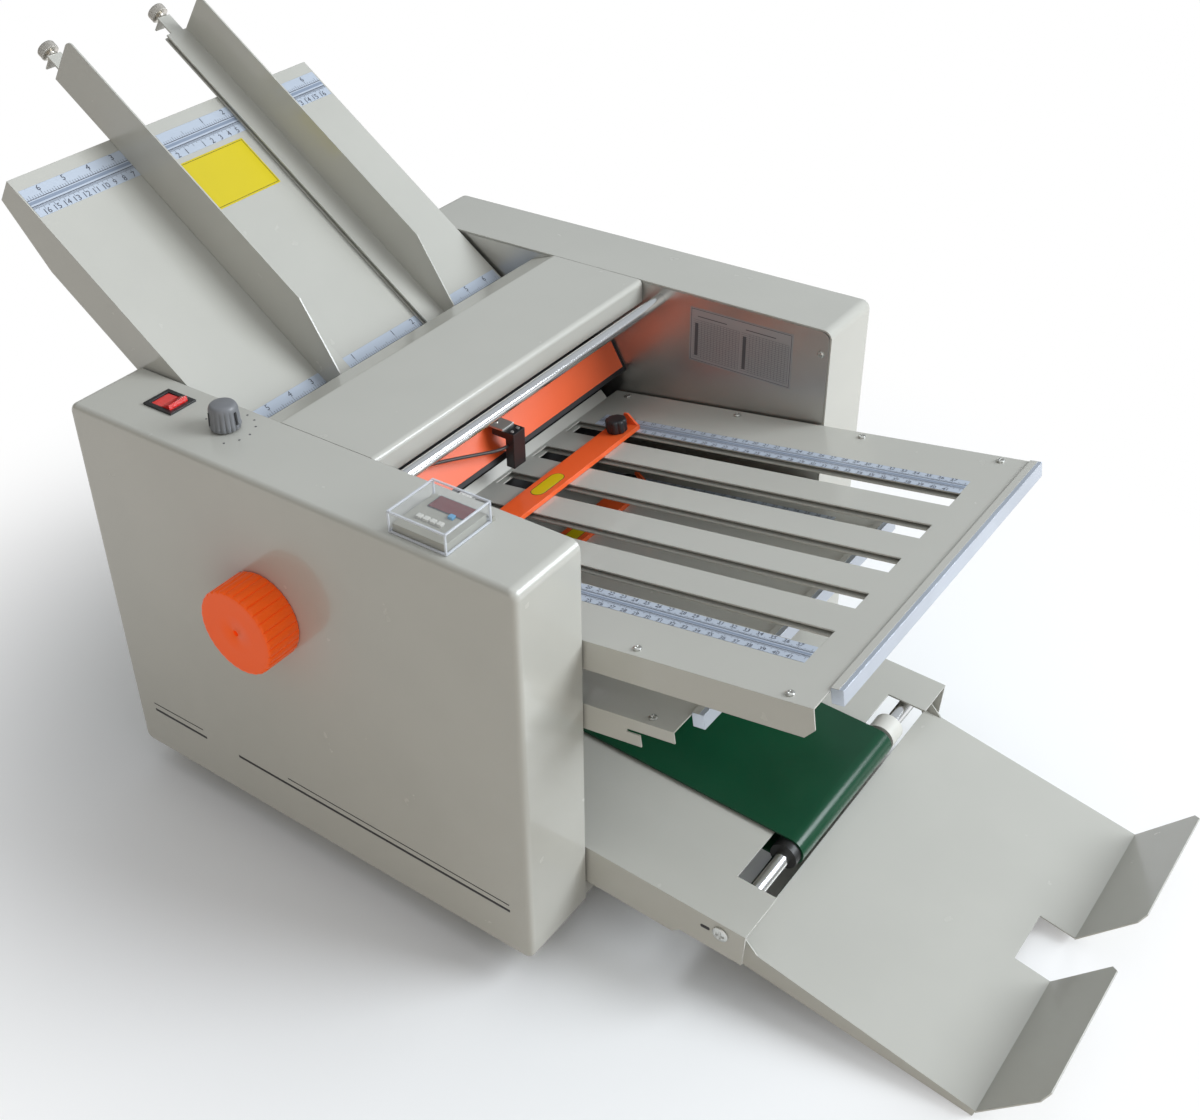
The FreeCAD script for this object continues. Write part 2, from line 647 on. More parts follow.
def frame_plate(label, side):
    """A flat steel plate inside each cover that carries every shaft."""
    name = label.title().replace("_", "")
    inset = S.cover_wall + S.rest_gap
    half = S.body_length / 2 - inset
    low = HALF_INNER if side > 0 else -PLATE_OUT
    body = fresh("PartDesign::Body", name)
    outline = rectangle(-half, S.foot_height + inset, half, BODY_TOP - inset)
    plate = pad(body, name + "Plate", "XZ_Plane", outline, low, S.plate_thickness)
    corners = soften(body, name + "Corners", plate, S.cover_corner_radius, runs_along("Y"))
    body.Tip = corners
    seat = S.bush_radius + S.shaft_fit
    circles = [(x, z, seat) for x, z in SHAFT_PLACES]
    if side < 0:
        circles.append((*MOTOR, S.motor_shaft_radius + S.motor_flange))
        circles.append((S.lead_exit_x, S.lead_exit_z, 2 * S.lead_radius))
    holes(body, name + "Seats", "XZ_Plane", circles, low - S.cut_overrun,
          S.plate_thickness + 2 * S.cut_overrun)
    return piece(label, body)


SHAFT_PLACES = (ROLLER_1, ROLLER_2, ROLLER_3, ROLLER_4, ROLLER_5, FEED, DRIVE_DRUM)


def bearing_bushes():
    """A flanged bush for each shaft in each frame plate."""
    bushes = []
    for number, (x, z) in enumerate(SHAFT_PLACES):
        for side, start in (("Near", -PLATE_OUT - S.bush_flange), ("Far", HALF_INNER)):
            name = f"Bush{side}{number}"
            reach = S.plate_thickness + S.bush_flange
            barrel = rod(name + "Barrel", S.bush_radius, (x, start, z), reach)
            flange_y = start if side == "Near" else PLATE_OUT
            flange = rod(name + "Flange", S.bush_flange_radius, (x, flange_y, z), S.bush_flange)
            bore = rod(name + "Bore", S.shaft_radius + S.shaft_fit,
                       (x, start - S.cut_overrun, z), reach + 2 * S.cut_overrun)
            bushes.append(cut(name, join(name + "Blank", [barrel, flange]), [bore]))
    return piece("bearing_bushes", group("BearingBushes", bushes))


def base_pan():
    """The folded floor between the frame plates, screwed to them by its side flanges."""
    half = S.body_length / 2 - S.rear_panel_inset - S.pan_wall
    low = S.foot_height + S.cover_wall
    floor = block("PanFloor", (-half, -HALF_INNER, low), (2 * half, S.inner_width, S.pan_wall))
    rim = (2 * half, S.pan_wall, S.pan_flange)
    near = block("PanNearRim", (-half, -HALF_INNER, low), rim)
    far = block("PanFarRim", (-half, HALF_INNER - S.pan_wall, low), rim)
    front = block("PanFrontRim", (half - S.pan_wall, -HALF_INNER, low),
                  (S.pan_wall, S.inner_width, S.pan_flange))
    return join("BasePan", [floor, near, far, front])


def rear_panel():
    """The rear wall under the feed tray, with the window of the power inlet."""
    body_x = -S.body_length / 2 + S.rear_panel_inset
    wall = block("RearWall", (body_x, -HALF_INNER, S.foot_height + S.cover_wall),
                 (S.pan_wall, S.inner_width, S.rear_panel_height))
    window = block("InletWindow", (body_x - S.cut_overrun, S.inlet_y - S.inlet_width / 2,
                                   S.inlet_z - S.inlet_height / 2),
                   (S.pan_wall + 2 * S.cut_overrun, S.inlet_width, S.inlet_height))
    return cut("RearPanel", wall, [window])


def power_inlet():
    """A three-pin inlet in the rear wall: a rimmed shell with its pins inside."""
    back = -S.body_length / 2 + S.rear_panel_inset
    gap = S.rest_gap / 2
    y0 = S.inlet_y - S.inlet_width / 2 + gap
    z0 = S.inlet_z - S.inlet_height / 2 + gap
    width = S.inlet_width - 2 * gap
    height = S.inlet_height - 2 * gap
    shell = block("InletShell", (back - S.inlet_rim_thickness, y0, z0),
                  (S.inlet_depth + S.inlet_rim_thickness, width, height))
    rim = block("InletRim", (back - S.inlet_rim_thickness, y0 - S.inlet_rim, z0 - S.inlet_rim),
                (S.inlet_rim_thickness, width + 2 * S.inlet_rim, height + 2 * S.inlet_rim))
    mouth = block("InletMouth", (back - S.inlet_rim_thickness - S.cut_overrun,
                                 y0 + S.inlet_wall, z0 + S.inlet_wall),
                  (S.inlet_depth + S.cut_overrun, width - 2 * S.inlet_wall,
                   height - 2 * S.inlet_wall))
    hollow = cut("InletHollow", join("InletBlank", [shell, rim]), [mouth])
    floor_x = back + S.inlet_depth - S.inlet_rim_thickness - S.inlet_pin_length
    pins = [rod(f"InletPin{number}", S.inlet_pin_radius,
                (floor_x, S.inlet_y + across * S.inlet_pin_pitch, S.inlet_z + up),
                S.inlet_pin_length + S.inlet_rim_thickness / 2, "X")
            for number, (across, up) in enumerate(((-1, NONE), (0, S.inlet_pin_radius), (1, NONE)))]
    return piece("power_inlet", join("PowerInlet", [hollow, *pins]))


def tie_rods():
    """Spacer bars between the frame plates, and the idler's spindle."""
    bars = [rod(f"TieRod{number}", S.tie_radius, (x, -HALF_INNER, z), S.inner_width)
            for number, (x, z) in enumerate(TIE_PLACES)]
    bars.append(rod("IdlerSpindle", S.spindle_radius, (IDLER[0], -GEAR_OUT, IDLER[1]),
                    GEAR_OUT - PLATE_OUT))
    return bars


TIE_PLACES = ((FRONT - S.tie_front_inset, S.tie_front_z), (S.tie_rear_inset - FRONT, S.tie_rear_z),
              (S.tie_low_inset - FRONT, S.tie_low_z))


def rest_pins():
    """Pins on the frame plates that each fold plate's side flanges rest on."""
    pins = []
    for start, angle, flange, length, shares in (
            (UPPER_START, S.upper_angle, S.fold_flange, S.upper_length, UPPER_REST_SHARES),
            (LOWER_START, S.lower_angle, S.lower_flange, S.lower_length, LOWER_REST_SHARES)):
        for share in shares:
            drop = flange + S.support_pin_radius + S.rest_gap
            x, z = on_slope(start, -angle, length * share, -drop)
            for side, y in (("Near", -HALF_INNER), ("Far", HALF_INNER - S.support_pin_length)):
                pins.append(rod(f"Rest{side}{len(pins)}", S.support_pin_radius, (x, y, z),
                                S.support_pin_length))
    return pins


UPPER_REST_SHARES = (0.12, 0.48)
LOWER_REST_SHARES = (0.16, 0.66)


def rubber_feet():
    """Four feet under the side housings."""
    feet = []
    for across in (-1, 1):
        for along in (-1, 1):
            x = along * (S.body_length / 2 - S.foot_inset_x)
            y = across * (OUTER - S.foot_inset_y)
            feet.append(rod(f"Foot{len(feet)}", S.foot_radius, (x, y, NONE), S.foot_height, "Z"))
    return piece("rubber_feet", group("RubberFeet", feet))


# Drive

def motor():
    """The drive motor, flanged to the near frame plate from inside."""
    can = rod("MotorCan", S.motor_radius, (S.motor_x, -HALF_INNER + S.motor_flange, S.motor_z),
              S.motor_length)
    side = 2 * S.motor_radius
    flange = block("MotorFlange", (S.motor_x - S.motor_radius, -HALF_INNER, S.motor_z - S.motor_radius),
                   (side, S.motor_flange, side))
    well = rod("MotorWell", S.motor_shaft_radius + S.shaft_fit,
               (S.motor_x, -HALF_INNER - S.cut_overrun, S.motor_z), S.motor_flange + S.cut_overrun)
    return piece("motor", cut("Motor", join("MotorBlank", [can, flange]), [well]))


def motor_pulley():
    """The motor's shaft end and the small toothed pulley on it."""
    shaft = rod("MotorShaft", S.motor_shaft_radius, (S.motor_x, -MAIN_OUT, S.motor_z),
                MAIN_OUT - HALF_INNER + S.motor_flange - S.rest_gap)
    wheel = rod("MotorWheel", S.motor_pulley_radius, (S.motor_x, -MAIN_OUT, S.motor_z),
                S.pulley_width)
    return piece("motor_pulley", join("MotorPulley", [shaft, wheel]))


def belt_loop(name, first, first_radius, last, last_radius, thickness, start, width):
    """A belt round two pulleys: two arcs and the straight runs that touch them both."""
    a = FreeCAD.Vector(size_of(first[0]).value, 0, size_of(first[1]).value)
    b = FreeCAD.Vector(size_of(last[0]).value, 0, size_of(last[1]).value)
    inner, outer = (loop_face(a, first_radius.value + extra, b, last_radius.value + extra)
                    for extra in (S.rest_gap.value, S.rest_gap.value + thickness.value))
    ring = outer.cut(inner)
    belt = fresh("Part::Feature", name)
    solid = ring.extrude(FreeCAD.Vector(0, width.value, 0))
    solid.translate(FreeCAD.Vector(0, start.value, 0))
    belt.Shape = solid.Solids[0]
    return belt


def loop_face(a, ra, b, rb):
    """The face inside a tight loop round two circles in the XZ plane."""
    line = b - a
    swing = math.acos((ra - rb) / line.Length)
    heading = math.atan2(line.z, line.x)

    def at(centre, radius, angle):
        return centre + FreeCAD.Vector(radius * math.cos(angle), 0, radius * math.sin(angle))

    a_up, a_low = at(a, ra, heading + swing), at(a, ra, heading - swing)
    b_up, b_low = at(b, rb, heading + swing), at(b, rb, heading - swing)
    edges = [Part.makeLine(a_up, b_up), Part.Arc(b_up, at(b, rb, heading), b_low).toShape(),
             Part.makeLine(b_low, a_low),
             Part.Arc(a_low, at(a, ra, heading + math.pi), a_up).toShape()]
    return Part.Face(Part.Wire(edges))


def timing_belts():
    """The belt from the motor to roller 4, and the belt from roller 4 to the delivery drum."""
    inset = (S.pulley_width - S.belt_width) / 2
    main = belt_loop("MotorBelt", ROLLER_4, S.large_pulley_radius, MOTOR, S.motor_pulley_radius,
                     S.belt_thickness, -MAIN_OUT + inset, S.belt_width)
    transfer = belt_loop("TransferBelt", ROLLER_4, S.transfer_pulley_radius, DRIVE_DRUM,
                         S.transfer_pulley_radius, S.belt_thickness, -TRANSFER_OUT + inset,
                         S.belt_width)
    return piece("timing_belts", group("TimingBelts", [main, transfer]))


def roller(number, centre, phase, near_end, extra=()):
    """A fold roller: a covered barrel bonded to its shaft, and the gear keyed to its near end."""
    name = f"FoldRoller{number}"
    x, z = centre
    far_end = PLATE_OUT + S.bush_flange + S.bush_flange
    barrel_end = HALF_INNER - S.roller_end_gap
    shaft = rod(name + "Shaft", S.shaft_radius, (x, -near_end, z), near_end + far_end)
    barrel = rod(name + "Barrel", S.roller_radius, (x, -barrel_end, z), 2 * barrel_end)
    wheel = gear(name + "Gear", S.gear_teeth, GEAR_RADIUS, phase, centre)
    return join(name, [shaft, barrel, wheel, *extra])


def fold_rollers():
    """Five rollers in a zigzag; each pair next to each other makes one nip."""
    phase_2 = 0
    phase_1 = meshed(phase_2, S.gear_teeth, S.angle_2_to_1, S.gear_teeth)
    phase_3 = meshed(phase_2, S.gear_teeth, S.angle_2_to_3, S.gear_teeth)
    phase_4 = meshed(phase_3, S.gear_teeth, S.angle_3_to_4, S.gear_teeth)
    phase_5 = meshed(phase_4, S.gear_teeth, S.angle_4_to_5, S.gear_teeth)
    wheels = [rod("MainPulley", S.large_pulley_radius, (ROLLER_4[0], -MAIN_OUT, ROLLER_4[1]),
                  S.pulley_width),
              rod("TransferPulley", S.transfer_pulley_radius,
                  (ROLLER_4[0], -TRANSFER_OUT, ROLLER_4[1]), S.pulley_width)]
    knob_end = OUTER + S.hand_gap + S.hand_seat
    piece("fold_roller_1", roller(1, ROLLER_1, phase_1, GEAR_OUT))
    piece("fold_roller_2", roller(2, ROLLER_2, phase_2, knob_end))
    piece("fold_roller_3", roller(3, ROLLER_3, phase_3, GEAR_OUT))
    piece("fold_roller_4", roller(4, ROLLER_4, phase_4, TRANSFER_OUT, wheels))
    piece("fold_roller_5", roller(5, ROLLER_5, phase_5, GEAR_OUT))
    return phase_1


def feed_train(phase_1):
    """The idler gear on its spindle, and the feed shaft with its gear and rubber wheels."""
    idler_phase = meshed(phase_1, S.gear_teeth, S.angle_1_to_feed, S.gear_teeth)
    feed_phase = meshed(idler_phase, S.gear_teeth, S.angle_1_to_feed, S.feed_gear_teeth)
    blank = gear("Idler", S.gear_teeth, GEAR_RADIUS, idler_phase, IDLER)
    bore = rod("IdlerBore", S.spindle_radius + S.shaft_fit,
               (IDLER[0], -GEAR_OUT - S.cut_overrun, IDLER[1]), S.gear_width + 2 * S.cut_overrun)
    piece("idler_gear", cut("IdlerGear", blank, [bore]))
    x, z = FEED
    reach = GEAR_OUT + PLATE_OUT + 2 * S.bush_flange
    shaft = rod("FeedShaftBar", S.shaft_radius, (x, -GEAR_OUT, z), reach)
    wheel = gear("FeedGear", S.feed_gear_teeth, FEED_GEAR_RADIUS, feed_phase, FEED)
    piece("feed_shaft", join("FeedShaft", [shaft, wheel]))
    tyres = [tube(f"FeedWheel{place}", S.feed_wheel_radius, S.shaft_radius + S.shaft_fit,
                  (x, place * S.feed_wheel_pitch - S.feed_wheel_width / 2, z), S.feed_wheel_width)
             for place in (-1, 0, 1)]
    piece("feed_wheels", group("FeedWheels", tyres))


# Feed side

def feed_tray():
    """The tilted tray: a flat floor with two side flanges that taper at the top end."""
    body = fresh("PartDesign::Body", "FeedTray")
    half = TRAY_WIDTH / 2
    floor = rectangle(NONE, -half, S.tray_slope_length, half)
    pad(body, "TrayFloor", "XY_Plane", floor, -S.tray_sheet, S.tray_sheet)
    side = [(NONE, NONE), (S.tray_slope_length, NONE),
            (S.tray_slope_length, -S.tray_flange_front),
            (S.tray_flange_stop, -S.tray_flange), (S.tray_taper_length, -S.tray_flange),
            (NONE, -S.tray_flange_end)]
    pad(body, "TrayNearFlange", "XZ_Plane", side, -half, S.tray_sheet)
    pad(body, "TrayFarFlange", "XZ_Plane", side, half - S.tray_sheet, S.tray_sheet)
    return piece("feed_tray", tilt(body, TRAY_START, S.tray_angle))


def tray_rests():
    """Pins on the frame plates under the feed tray's side flanges."""
    feet = []
    for along_share in TRAY_FOOT_SHARES:
        along = S.tray_slope_length * along_share
        for side, y in (("Near", -HALF_INNER), ("Far", HALF_INNER - S.support_pin_length)):
            drop = S.tray_flange + S.support_pin_radius + S.rest_gap
            x, z = on_slope(TRAY_START, S.tray_angle, along, -drop)
            feet.append(rod(f"TrayRest{side}{len(feet)}", S.support_pin_radius, (x, y, z),
                            S.support_pin_length))
    return feet


TRAY_FOOT_SHARES = (0.66, 0.8)


def separator_pad():
    """The rubber pad under the feed wheel, on an arm from the tray's lower end."""
    along = S.tray_slope_length + S.separator_gap
    pad_block = block("SeparatorBlock", (along, -S.separator_width / 2,
                                         -S.separator_thickness - S.rest_gap),
                      (S.separator_length, S.separator_width, S.separator_thickness))
    arm = block("SeparatorArm", (along - S.separator_gap - 2 * S.separator_arm,
                                 -S.separator_width / 2, -S.separator_thickness - S.tray_sheet),
                (S.separator_gap + 3 * S.separator_arm, S.separator_width,
                 S.separator_thickness / 2))
    both = join("SeparatorPad", [pad_block, arm])
    return piece("separator_pad", tilt(both, TRAY_START, S.tray_angle))


GUIDE_CORNER_STEPS = 6


def paper_guide(label, y, side):
    """A side guide: a tall wall on a folded base that lies on the tray and reaches inward."""
    name = label.title().replace("_", "")
    base_x = -S.guide_lead
    toe = S.guide_length - S.guide_lead
    full = S.guide_full_length - S.guide_lead
    head = S.guide_head_radius
    lift = S.rest_gap
    corner = [(base_x + head * (1 + cosine(turn)), S.guide_height - head * (1 - sine(turn)))
              for turn in (size_of(90 + 90 * step / GUIDE_CORNER_STEPS)
                           for step in range(GUIDE_CORNER_STEPS + 1))]
    wall = corner + [(base_x, lift), (toe, lift), (toe, S.guide_toe_height),
                     (full, S.guide_height)]
    body = fresh("PartDesign::Body", name)
    low = -S.guide_sheet if side > 0 else NONE
    pad(body, name + "Wall", "XZ_Plane", wall, y + (NONE if side > 0 else -S.guide_sheet),
        S.guide_sheet)
    inward = (y - S.guide_flange, y + S.guide_sheet) if side > 0 else \
             (y - S.guide_sheet, y + S.guide_flange)
    leaf = rectangle(base_x, inward[0], toe, inward[1])
    pad(body, name + "Base", "XY_Plane", leaf, lift, S.guide_sheet)
    top = lift + S.guide_sheet + S.guide_leaf_gap
    pad(body, name + "Leaf", "XY_Plane", leaf, top, S.guide_sheet)
    strip_end = base_x - S.guide_strip_lead
    middle = (inward[0] + inward[1]) / 2
    strip = rectangle(strip_end, middle - S.guide_strip_width / 2,
                      base_x, middle + S.guide_strip_width / 2)
    pad(body, name + "Strip", "XY_Plane", strip, top, S.guide_sheet)
    tab = rectangle(strip_end, middle - S.guide_tab_width / 2, strip_end + S.guide_sheet,
                    middle + S.guide_tab_width / 2)
    pad(body, name + "Tab", "XY_Plane", tab, -S.guide_tab_drop, S.guide_tab_drop + top)
    axis_height = lift + S.guide_sheet + S.guide_leaf_gap / 2
    drill = rod(name + "TabHole", S.guide_screw_shank + S.shaft_fit,
                (strip_end - S.cut_overrun, middle, axis_height),
                S.guide_sheet + 2 * S.cut_overrun, "X")
    piece(label, tilt(cut(name + "Drilled", body, [drill]), TRAY_START, S.tray_angle))
    return strip_end, middle, axis_height


def guide_screw(label, place):
    """A knurled thumb screw that lies along the guide and passes through its end tab."""
    name = label.title().replace("_", "")
    along, y, height = place
    neck_end = along - S.rest_gap - S.guide_neck_length
    head = rod(name + "Head", S.guide_screw_radius, (neck_end - S.guide_screw_length, y, height),
               S.guide_screw_length, "X")
    neck = rod(name + "Neck", S.guide_neck_radius, (neck_end, y, height), S.guide_neck_length, "X")
    shank = rod(name + "Shank", S.guide_screw_shank, (neck_end, y, height),
                S.guide_neck_length + S.guide_screw_tail, "X")
    return piece(label, tilt(join(name, [head, neck, shank]), TRAY_START, S.tray_angle))


# Top cover, bar, guard and sensor

def top_cover():
    """The bent cover over the feed shaft, with an ear at each end round its hinge pins."""
    half = HALF_INNER - S.lid_side_gap
    points = [(S.lid_lip_x, BODY_TOP - S.lid_lip_drop), (S.lid_rear_x, BODY_TOP),
              (S.lid_front_x, BODY_TOP), (S.lid_front_x, BODY_TOP - S.lid_front_drop)]
    skin = bent_sheet("CoverSkin", points, S.lid_sheet, S.lid_bend, -half, 2 * half)
    ears = []
    for side, y in (("Near", -half), ("Far", half - S.hinge_ear_thickness)):
        ears.append(tube(f"Cover{side}Ear", S.hinge_ear, S.hinge_pin_radius + S.shaft_fit,
                         (HINGE[0], y, HINGE[1]), S.hinge_ear_thickness))
    return piece("top_cover", join("TopCover", [skin, *ears]))


def hinge_pins():
    """Two pins in the frame plates that the cover's ears turn on."""
    length = S.lid_side_gap + S.hinge_ear_thickness + S.rest_gap
    pins = [rod("NearHingePin", S.hinge_pin_radius, (HINGE[0], -HALF_INNER, HINGE[1]), length),
            rod("FarHingePin", S.hinge_pin_radius, (HINGE[0], HALF_INNER - length, HINGE[1]), length)]
    return pins


def guide_bar():
    """The polished bar between the frame plates in front of the cover."""
    return piece("guide_bar", rod("GuideBar", S.bar_radius, (S.bar_x, -HALF_INNER, S.bar_z),
                                  S.inner_width))


GUARD_START = (S.guard_x, S.guard_z)
GUARD_FAR = HALF_INNER - S.guard_far_gap


def guard():
    """The slanted guard over the first nip."""
    width = GUARD_FAR + HALF_INNER
    sheet = block("Guard", (NONE, NONE, NONE), (S.guard_length, width, S.guard_sheet))
    sheet = tilt(sheet, on_slope(GUARD_START, S.guard_angle, NONE, -S.guard_sheet), S.guard_angle)
    bind(sheet, "Placement.Base.y", -HALF_INNER)
    return piece("guard", sheet)


def guard_edge():
    """The rubber strip along the guard's lower edge."""
    width = GUARD_FAR + HALF_INNER
    strip = block("GuardEdge", (NONE, NONE, NONE), (S.guard_edge, width, S.guard_edge_depth))
    start = on_slope(GUARD_START, S.guard_angle, S.guard_length, -S.guard_edge_depth)
    strip = tilt(strip, start, S.guard_angle)
    bind(strip, "Placement.Base.y", -HALF_INNER)
    return strip


def guard_block():
    """The block that carries the guard's far end on the frame plate."""
    body = block("GuardBlock", (NONE, NONE, NONE),
                 (S.guard_length + S.guard_edge, S.guard_far_gap, S.guard_block))
    body = tilt(body, on_slope(GUARD_START, S.guard_angle, NONE, -S.guard_block), S.guard_angle)
    bind(body, "Placement.Base.y", GUARD_FAR)
    return body


def sensor():
    """The paper sensor: a stem in front of the guard and an arm back to its top edge."""
    front, near, low = S.sensor_front_x, S.sensor_near_y, S.sensor_z
    stem = block("SensorStem", (front - S.sensor_depth, near, low),
                 (S.sensor_depth, S.sensor_width, S.sensor_height))
    arm = block("SensorArm", (front - S.sensor_arm, near, low + S.sensor_height - S.sensor_arm_height),
                (S.sensor_arm, S.sensor_width, S.sensor_arm_height))
    return piece("sensor", join("Sensor", [stem, arm]))


def sensor_bracket():
    """The plated clip that seats the sensor's arm on the guard's top edge."""
    top = S.sensor_z + S.sensor_height
    front = S.sensor_front_x - S.sensor_arm / 2
    plate = block("ClipPlate", (front - S.sensor_clip, S.sensor_near_y, top),
                  (S.sensor_clip, S.sensor_width, S.sensor_clip_sheet))
    leg = block("ClipLeg", (S.guard_x - S.sensor_leg / 2, S.sensor_near_y, S.guard_z + S.shaft_fit),
                (S.sensor_leg, S.sensor_width, top + S.sensor_clip_sheet - S.guard_z - S.shaft_fit))
    return piece("sensor_bracket", join("SensorBracket", [plate, leg]))


# The lead's route from the sensor's near side to its hole in the near frame plate, in millimetres.
LEAD_ROUTE = [(28.7, -10.5, 296.7), (28.7, -18.0, 296.7), (24.5, -42.0, 303.5),
              (17.0, -72.0, 311.0), (9.0, -105.0, 317.5), (-1.0, -142.0, 319.0),
              (-8.0, -176.0, 317.0)]
LEAD_BEND_SHARE = 0.45


def sensor_lead():
    """The sensor's lead: straight runs joined by arcs as large as the runs allow."""
    points = [FreeCAD.Vector(*point) for point in LEAD_ROUTE]
    edges = []
    at = points[0]
    for before, corner, after in zip(points, points[1:], points[2:]):
        first, second = (corner - before), (after - corner)
        reach = LEAD_BEND_SHARE * min(first.Length, second.Length)
        turn = first.getAngle(second)
        first, second = first.normalize(), second.normalize()
        radius = reach / math.tan(turn / 2)
        print(f"lead bend radius {radius:.1f}")
        middle = (second - first).normalize()
        bulge = corner + middle * (radius / math.cos(turn / 2) - radius)
        edges.append(Part.makeLine(at, corner - first * reach))
        edges.append(Part.Arc(corner - first * reach, bulge, corner + second * reach).toShape())
        at = corner + second * reach
    edges.append(Part.makeLine(at, points[-1]))
    path = Part.Wire(edges)
    ring = Part.Wire(Part.makeCircle(S.lead_radius.value, points[0], points[1] - points[0]))
    lead = fresh("Part::Feature", "SensorLead")
    lead.Shape = path.makePipeShell([ring], True, False)
    expected = math.pi * S.lead_radius.value ** 2 * path.Length
    print(f"lead volume {lead.Shape.Volume:.1f}, section times length {expected:.1f}")
    return piece("sensor_lead", lead)


# Fold plates

def plate_screw_places(alongs):
    """Where the screws stand that hold the two sheets of a fold plate together."""
    edge = FOLD_WIDTH / 2 - S.screw_inset
    return [(along, side * edge) for along in alongs for side in (-1, 1)]


UPPER_SCREW_SHARES = (0.045, 0.342, 0.645, 0.947)
LOWER_SCREW_SHARES = (0.062, 0.49, 0.924)
UPPER_SCREWS = plate_screw_places([S.upper_length * share for share in UPPER_SCREW_SHARES])
LOWER_SCREWS = plate_screw_places([S.lower_length * share for share in LOWER_SCREW_SHARES])


def slots(body, name, start, end, width, start_z, depth):
    """A row of long slots, side by side across the sheet."""
    first = S.slot_offset - S.slot_pitch * (S.slot_count - 1) / 2
    outline = rectangle(start, first - width / 2, end, first + width / 2)
    slot = pocket(body, name, "XY_Plane", outline, start_z, depth)
    pattern = body.newObject("PartDesign::LinearPattern", name + "Row")
    pattern.Originals = [slot]
    axis = next(item for item in body.Origin.OriginFeatures if item.Role == "Y_Axis")
    pattern.Direction = (axis, [""])
    bind(pattern, "Length", S.slot_pitch * (S.slot_count - 1))
    bind(pattern, "Occurrences", S.slot_count)
    body.Tip = pattern
    DOC.recompute()
    return pattern


def top_sheet(label, start, angle, length, slot_end, screws, flange):
    """The upper sheet of a fold plate: slotted floor, side flanges and a flared entry lip."""
    name = label.title().replace("_", "")
    half = FOLD_WIDTH / 2
    body = fresh("PartDesign::Body", name)
    pad(body, name + "Floor", "XY_Plane", rectangle(NONE, -half, length, half), -S.fold_sheet,
        S.fold_sheet)
    reach_x = S.lip_length * cosine(S.lip_angle)
    reach_z = S.lip_length * sine(S.lip_angle)
    lip = [(NONE, NONE), (-reach_x, reach_z),
           (-reach_x - S.fold_sheet * sine(S.lip_angle), reach_z - S.fold_sheet * cosine(S.lip_angle)),
           (-S.fold_sheet * cosine(S.lip_angle), -S.fold_sheet), (S.fold_sheet, -S.fold_sheet),
           (S.fold_sheet, NONE)]
    pad(body, name + "Lip", "XZ_Plane", lip, -half + S.strip_inset, FOLD_WIDTH - 2 * S.strip_inset)
    pad(body, name + "NearFlange", "XZ_Plane", flange, -half, S.fold_sheet)
    pad(body, name + "FarFlange", "XZ_Plane", flange, half - S.fold_sheet, S.fold_sheet)
    under = -S.fold_sheet - S.cut_overrun
    through = S.fold_sheet + 2 * S.cut_overrun
    holes(body, name + "ScrewHoles", "XY_Plane",
          [(x, y, S.screw_shank_radius + S.shaft_fit) for x, y in screws], under, through)
    slots(body, name + "Slot", S.upper_slot_start, slot_end, S.slot_width, under, through)
    return piece(label, tilt(body, start, -angle))


def under_sheet(label, start, angle, length, slot_end, screws):
    """The lower sheet, one paper gap below, with slots a little smaller."""
    name = label.title().replace("_", "")
    half = FOLD_WIDTH / 2 - 2 * S.fold_sheet
    low = -2 * S.fold_sheet - S.fold_gap
    body = fresh("PartDesign::Body", name)
    pad(body, name + "Floor", "XY_Plane", rectangle(NONE, -half, length - 2 * S.slot_step, half), low,
        S.fold_sheet)
    under = low - S.cut_overrun / 2
    through = S.fold_sheet + S.cut_overrun
    holes(body, name + "ScrewHoles", "XY_Plane",
          [(x, y, S.screw_shank_radius + S.shaft_fit) for x, y in screws], under, through)
    slots(body, name + "Slot", S.upper_slot_start + S.slot_step, slot_end - S.slot_step,
          S.slot_width - 2 * S.slot_step, under, through)
    return piece(label, tilt(body, start, -angle))


def end_strip(label, start, angle, length, width, near_y, far_y):
    """The aluminium strip across the end of a fold plate."""
    strip = block(label.title().replace("_", ""), (NONE, NONE, NONE), (width, far_y - near_y,
                                                                       S.strip_height))
    lift = S.fold_sheet - S.strip_height
    strip = tilt(strip, on_slope(start, -angle, length, lift), -angle)
    bind(strip, "Placement.Base.y", near_y)
    return strip


def upper_fold_plate():
    length, depth, round_off = S.upper_length, S.fold_flange, S.fold_flange_corner
    flange = [(NONE, NONE), (length, NONE), (length, -depth + round_off),
              (length - round_off, -depth), (NONE, -depth)]
    top_sheet("upper_plate_top_sheet", UPPER_START, S.upper_angle, length, S.upper_slot_end,
              UPPER_SCREWS, flange)
    under_sheet("upper_plate_lower_sheet", UPPER_START, S.upper_angle, length, S.upper_slot_end,
                UPPER_SCREWS)
    half = FOLD_WIDTH / 2
    return end_strip("upper_end_strip", UPPER_START, S.upper_angle, length, S.upper_strip,
                     S.strip_near_inset - half, half)


def lower_fold_plate():
    length, depth, shallow = S.lower_length, S.lower_flange, S.lower_flange_end
    deep = S.lower_deep_length
    slit = S.hook_width
    flange = [(NONE, NONE), (length, NONE), (length, -shallow), (deep, -shallow),
              (deep - S.hook_length, -shallow), (deep - S.hook_length, -shallow - slit),
              (deep - slit, -shallow - slit), (deep - slit, -depth), (NONE, -depth)]
    top_sheet("lower_plate_top_sheet", LOWER_START, S.lower_angle, length, S.lower_slot_end,
              LOWER_SCREWS, flange)
    under_sheet("lower_plate_lower_sheet", LOWER_START, S.lower_angle, length, S.lower_slot_end,
                LOWER_SCREWS)
    half = FOLD_WIDTH / 2
    return end_strip("lower_end_strip", LOWER_START, S.lower_angle, length, S.lower_strip,
                     S.lower_strip_near_inset - half, half - S.lower_strip_far_inset)


